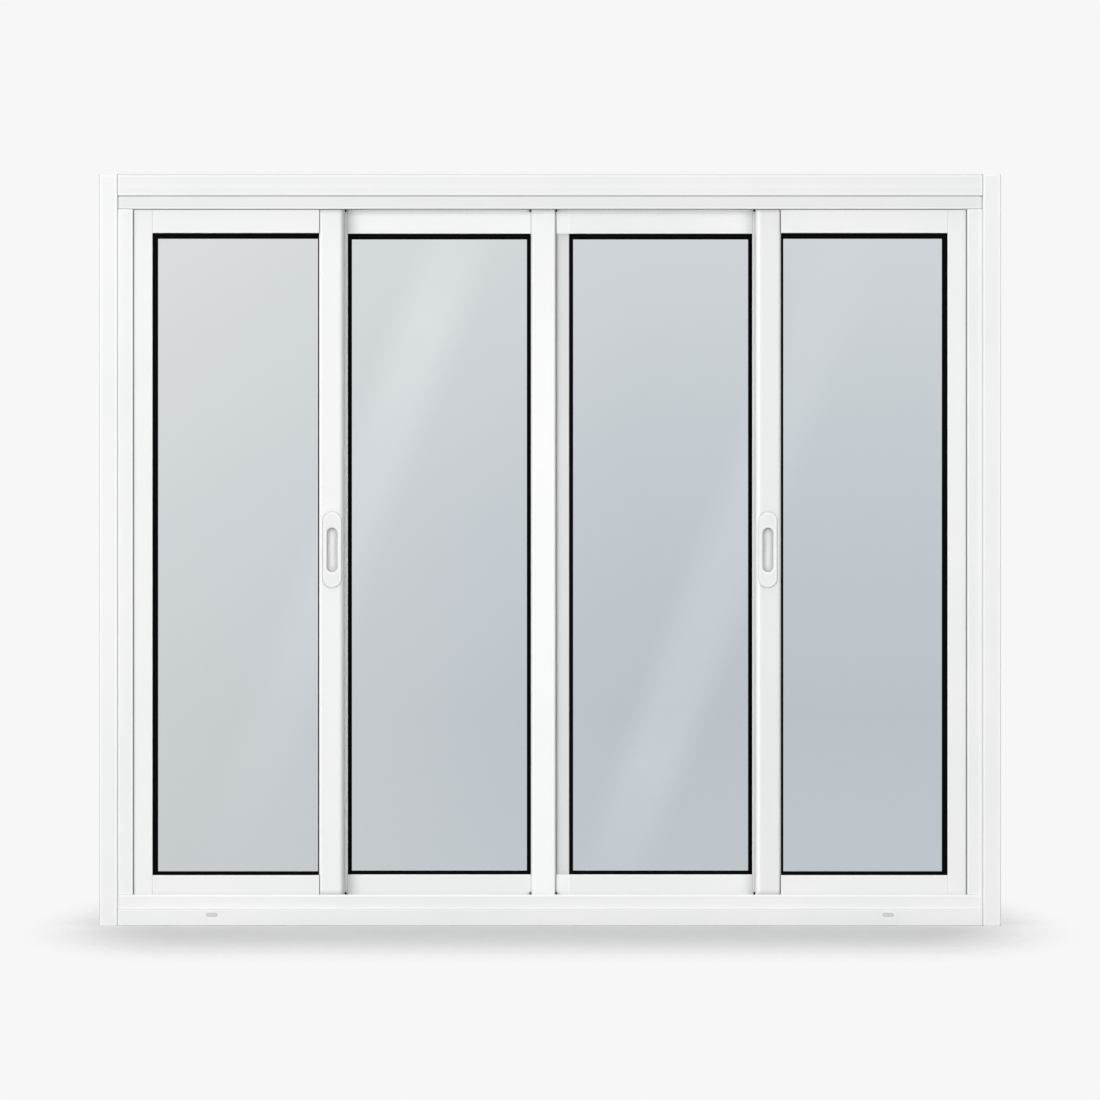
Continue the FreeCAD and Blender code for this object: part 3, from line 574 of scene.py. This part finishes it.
def makeWorld():
    # the backdrop, as it is seen, mirrored and looked at through the panes, and a fainter light from it
    world = bpy.data.worlds.new("studio")
    bpy.context.scene.world = world
    world.use_nodes = True
    tree = world.node_tree
    tree.nodes.clear()
    rays = addNode(tree, "ShaderNodeLightPath").outputs
    mirrored = addNode(tree, "ShaderNodeMath", {"operation": "MAXIMUM"},
                       links={0: rays["Is Camera Ray"], 1: rays["Is Glossy Ray"]})
    seen = addNode(tree, "ShaderNodeMath", {"operation": "MAXIMUM"},
                   links={0: mirrored, 1: rays["Is Transmission Ray"]})
    light = addNode(tree, "ShaderNodeBackground",
                    inputs={"Color": (1, 1, 1, 1), "Strength": studio["worldStrength"]})
    backdrop = addNode(tree, "ShaderNodeBackground",
                       inputs={"Color": linear(studio["background"]), "Strength": 1.0})
    mix = addNode(tree, "ShaderNodeMixShader", links={0: seen, 1: light, 2: backdrop})
    addNode(tree, "ShaderNodeOutputWorld", links={"Surface": mix})


def addLamp(name, width, height, power, place):
    lamp = bpy.data.lights.new(name, "AREA")
    lamp.shape = "RECTANGLE"
    lamp.size, lamp.size_y = width, height
    lamp.energy = power
    lampObject = bpy.data.objects.new(name, lamp)
    bpy.context.scene.collection.objects.link(lampObject)
    lampObject.location = place
    towards = Vector(studio["aim"]) - Vector(place)
    lampObject.rotation_euler = towards.to_track_quat("-Z", "Y").to_euler()
    if place[1] > 0:      # a lamp behind the window lights its back but isn't seen through the panes
        lampObject.visible_transmission = False


def makeFloor():
    # a pale sheet round the foot of the window that fades out, so that no horizon shows
    low, high = cadBounds
    side, front, back = studio["floorSide"], studio["floorFront"], studio["floorBack"]
    x0, y0, x1, y1 = low[0] - side, low[1] - front, high[0] + side, high[1] + back
    mesh = bpy.data.meshes.new("floor")
    mesh.from_pydata([(x0, y0, 0), (x1, y0, 0), (x1, y1, 0), (x0, y1, 0)], [], [(0, 1, 2, 3)])
    floor = bpy.data.objects.new("floor", mesh)
    bpy.context.scene.collection.objects.link(floor)
    material, tree = newMaterial("matt studio floor")
    place = addNode(tree, "ShaderNodeTexCoord").outputs["Object"]
    spot = addNode(tree, "ShaderNodeSeparateXYZ", links={"Vector": place})
    # how far out of the window's outline a spot is: the root of the sum of the squares of its shares of
    # the floor's reach on the four sides
    inside = studio["floorInside"]
    squares = []
    for axis, edge, reach in (("X", low[0] + inside, -(side + inside)),
                              ("X", high[0] - inside, side + inside),
                              ("Y", low[1], -front), ("Y", high[1], back)):
        share = addNode(tree, "ShaderNodeMapRange", inputs={"From Min": edge, "From Max": edge + reach},
                        links={"Value": spot.outputs[axis]})
        squares.append(addNode(tree, "ShaderNodeMath", {"operation": "POWER"}, {1: 2.0}, {0: share}))
    total = squares[0]
    for square in squares[1:]:
        total = addNode(tree, "ShaderNodeMath", {"operation": "ADD"}, links={0: total, 1: square})
    distance = addNode(tree, "ShaderNodeMath", {"operation": "SQRT"}, links={0: total})
    fade = addNode(tree, "ShaderNodeMapRange", {"interpolation_type": "SMOOTHSTEP"},
                   {"From Min": studio["floorFull"], "From Max": 1.0}, {"Value": distance})
    rays = addNode(tree, "ShaderNodeLightPath").outputs
    seen = addNode(tree, "ShaderNodeMath", {"operation": "MAXIMUM"},
                   links={0: rays["Is Camera Ray"], 1: rays["Is Transmission Ray"]})
    color = addNode(tree, "ShaderNodeMix", {"data_type": "RGBA"},
                    {6: linear(studio["floorBounce"]), 7: linear(studio["floorColor"])}, {0: seen})
    matt = addNode(tree, "ShaderNodeBsdfDiffuse", links={"Color": color.outputs[2]})
    clear = addNode(tree, "ShaderNodeBsdfTransparent")
    mix = addNode(tree, "ShaderNodeMixShader", links={0: fade, 1: matt, 2: clear})
    mesh.materials.append(finishMaterial(material, tree, mix))
    floor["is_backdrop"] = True


# two long strip lights in front of the window, which the panes mirror as slanting pale bands
stripLights = {
    "away": 8.0,              # from the window, half way to the camera
    "width": 0.17, "length": 1.55, "lean": 20.6,
    "strength": 2.6,          # a strength of 1 is white
    "crown": (0.35, 0.65),    # the shares of its width between which it is fully lit
    "run": (0.2, 0.8),        # the shares of its length between which it goes from one share to the other
    "places": [(-0.403, 0.53, (1.0, 0.25)), (0.364, 0.50, (0.35, 1.0))],   # x, z, share lit at top and foot
}


def addStripLight(x, z, lit):
    # a soft-edged card: a crown of light across its width, running from one share to another along it
    half, tall = stripLights["width"] / 2, stripLights["length"] / 2
    lean = math.radians(stripLights["lean"])
    across = np.array([math.cos(lean), 0, -math.sin(lean)]) * half
    upwards = np.array([math.sin(lean), 0, math.cos(lean)]) * tall
    middle = np.array([x, -stripLights["away"], z])
    corners = [middle - across - upwards, middle + across - upwards, middle + across + upwards,
               middle - across + upwards]
    mesh = bpy.data.meshes.new("strip light")
    mesh.from_pydata(corners, [], [(0, 1, 2, 3)])
    cover = mesh.uv_layers.new(name="cover")
    cover.data.foreach_set("uv", [0, 0, 1, 0, 1, 1, 0, 1])
    material, tree = newMaterial("strip light")
    place = addNode(tree, "ShaderNodeUVMap", {"uv_map": "cover"})
    spot = addNode(tree, "ShaderNodeSeparateXYZ", links={"Vector": place})
    dark, white = (0, 0, 0, 1), (1, 1, 1, 1)
    top, foot = ((share,) * 3 + (1,) for share in lit)
    inner, outer = stripLights["crown"]
    low, high = stripLights["run"]
    width = addNode(tree, "ShaderNodeValToRGB", links={"Fac": spot.outputs["X"]},
                    stops=[(0.0, dark), (inner, white), (outer, white), (1.0, dark)])
    along = addNode(tree, "ShaderNodeValToRGB", links={"Fac": spot.outputs["Y"]},
                    stops=[(0.0, dark), (low, foot), (high, top), (1.0, dark)])
    share = addNode(tree, "ShaderNodeMath", {"operation": "MULTIPLY"}, links={0: width, 1: along})
    light = addNode(tree, "ShaderNodeEmission", inputs={"Strength": stripLights["strength"]})
    clear = addNode(tree, "ShaderNodeBsdfTransparent")
    mix = addNode(tree, "ShaderNodeMixShader", links={0: share, 1: clear, 2: light})
    mesh.materials.append(finishMaterial(material, tree, mix))
    card = bpy.data.objects.new("strip light", mesh)
    bpy.context.scene.collection.objects.link(card)
    card.visible_camera = card.visible_diffuse = card.visible_transmission = card.visible_shadow = False
    card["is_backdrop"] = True


def makeCamera():
    camera = bpy.data.cameras.new("camera")
    camera.sensor_width = cameraSetup["sensor"]
    camera.lens = cameraSetup["sensor"] * cameraSetup["distance"] / cameraSetup["viewWidth"]
    cameraObject = bpy.data.objects.new("camera", camera)
    bpy.context.scene.collection.objects.link(cameraObject)
    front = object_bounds()[0][1]
    cameraObject.location = (0, front - cameraSetup["distance"], cameraSetup["height"])
    cameraObject.rotation_euler = (math.radians(90), 0, 0)
    bpy.context.scene.camera = cameraObject


makeWorld()
for lampName, settings in studio["lamps"].items():
    addLamp(lampName, *settings)
makeFloor()
for x, z, lit in stripLights["places"]:
    addStripLight(x, z, lit)
makeCamera()
bpy.context.scene.view_settings.view_transform = "Standard"
print("camera, lights and floor")
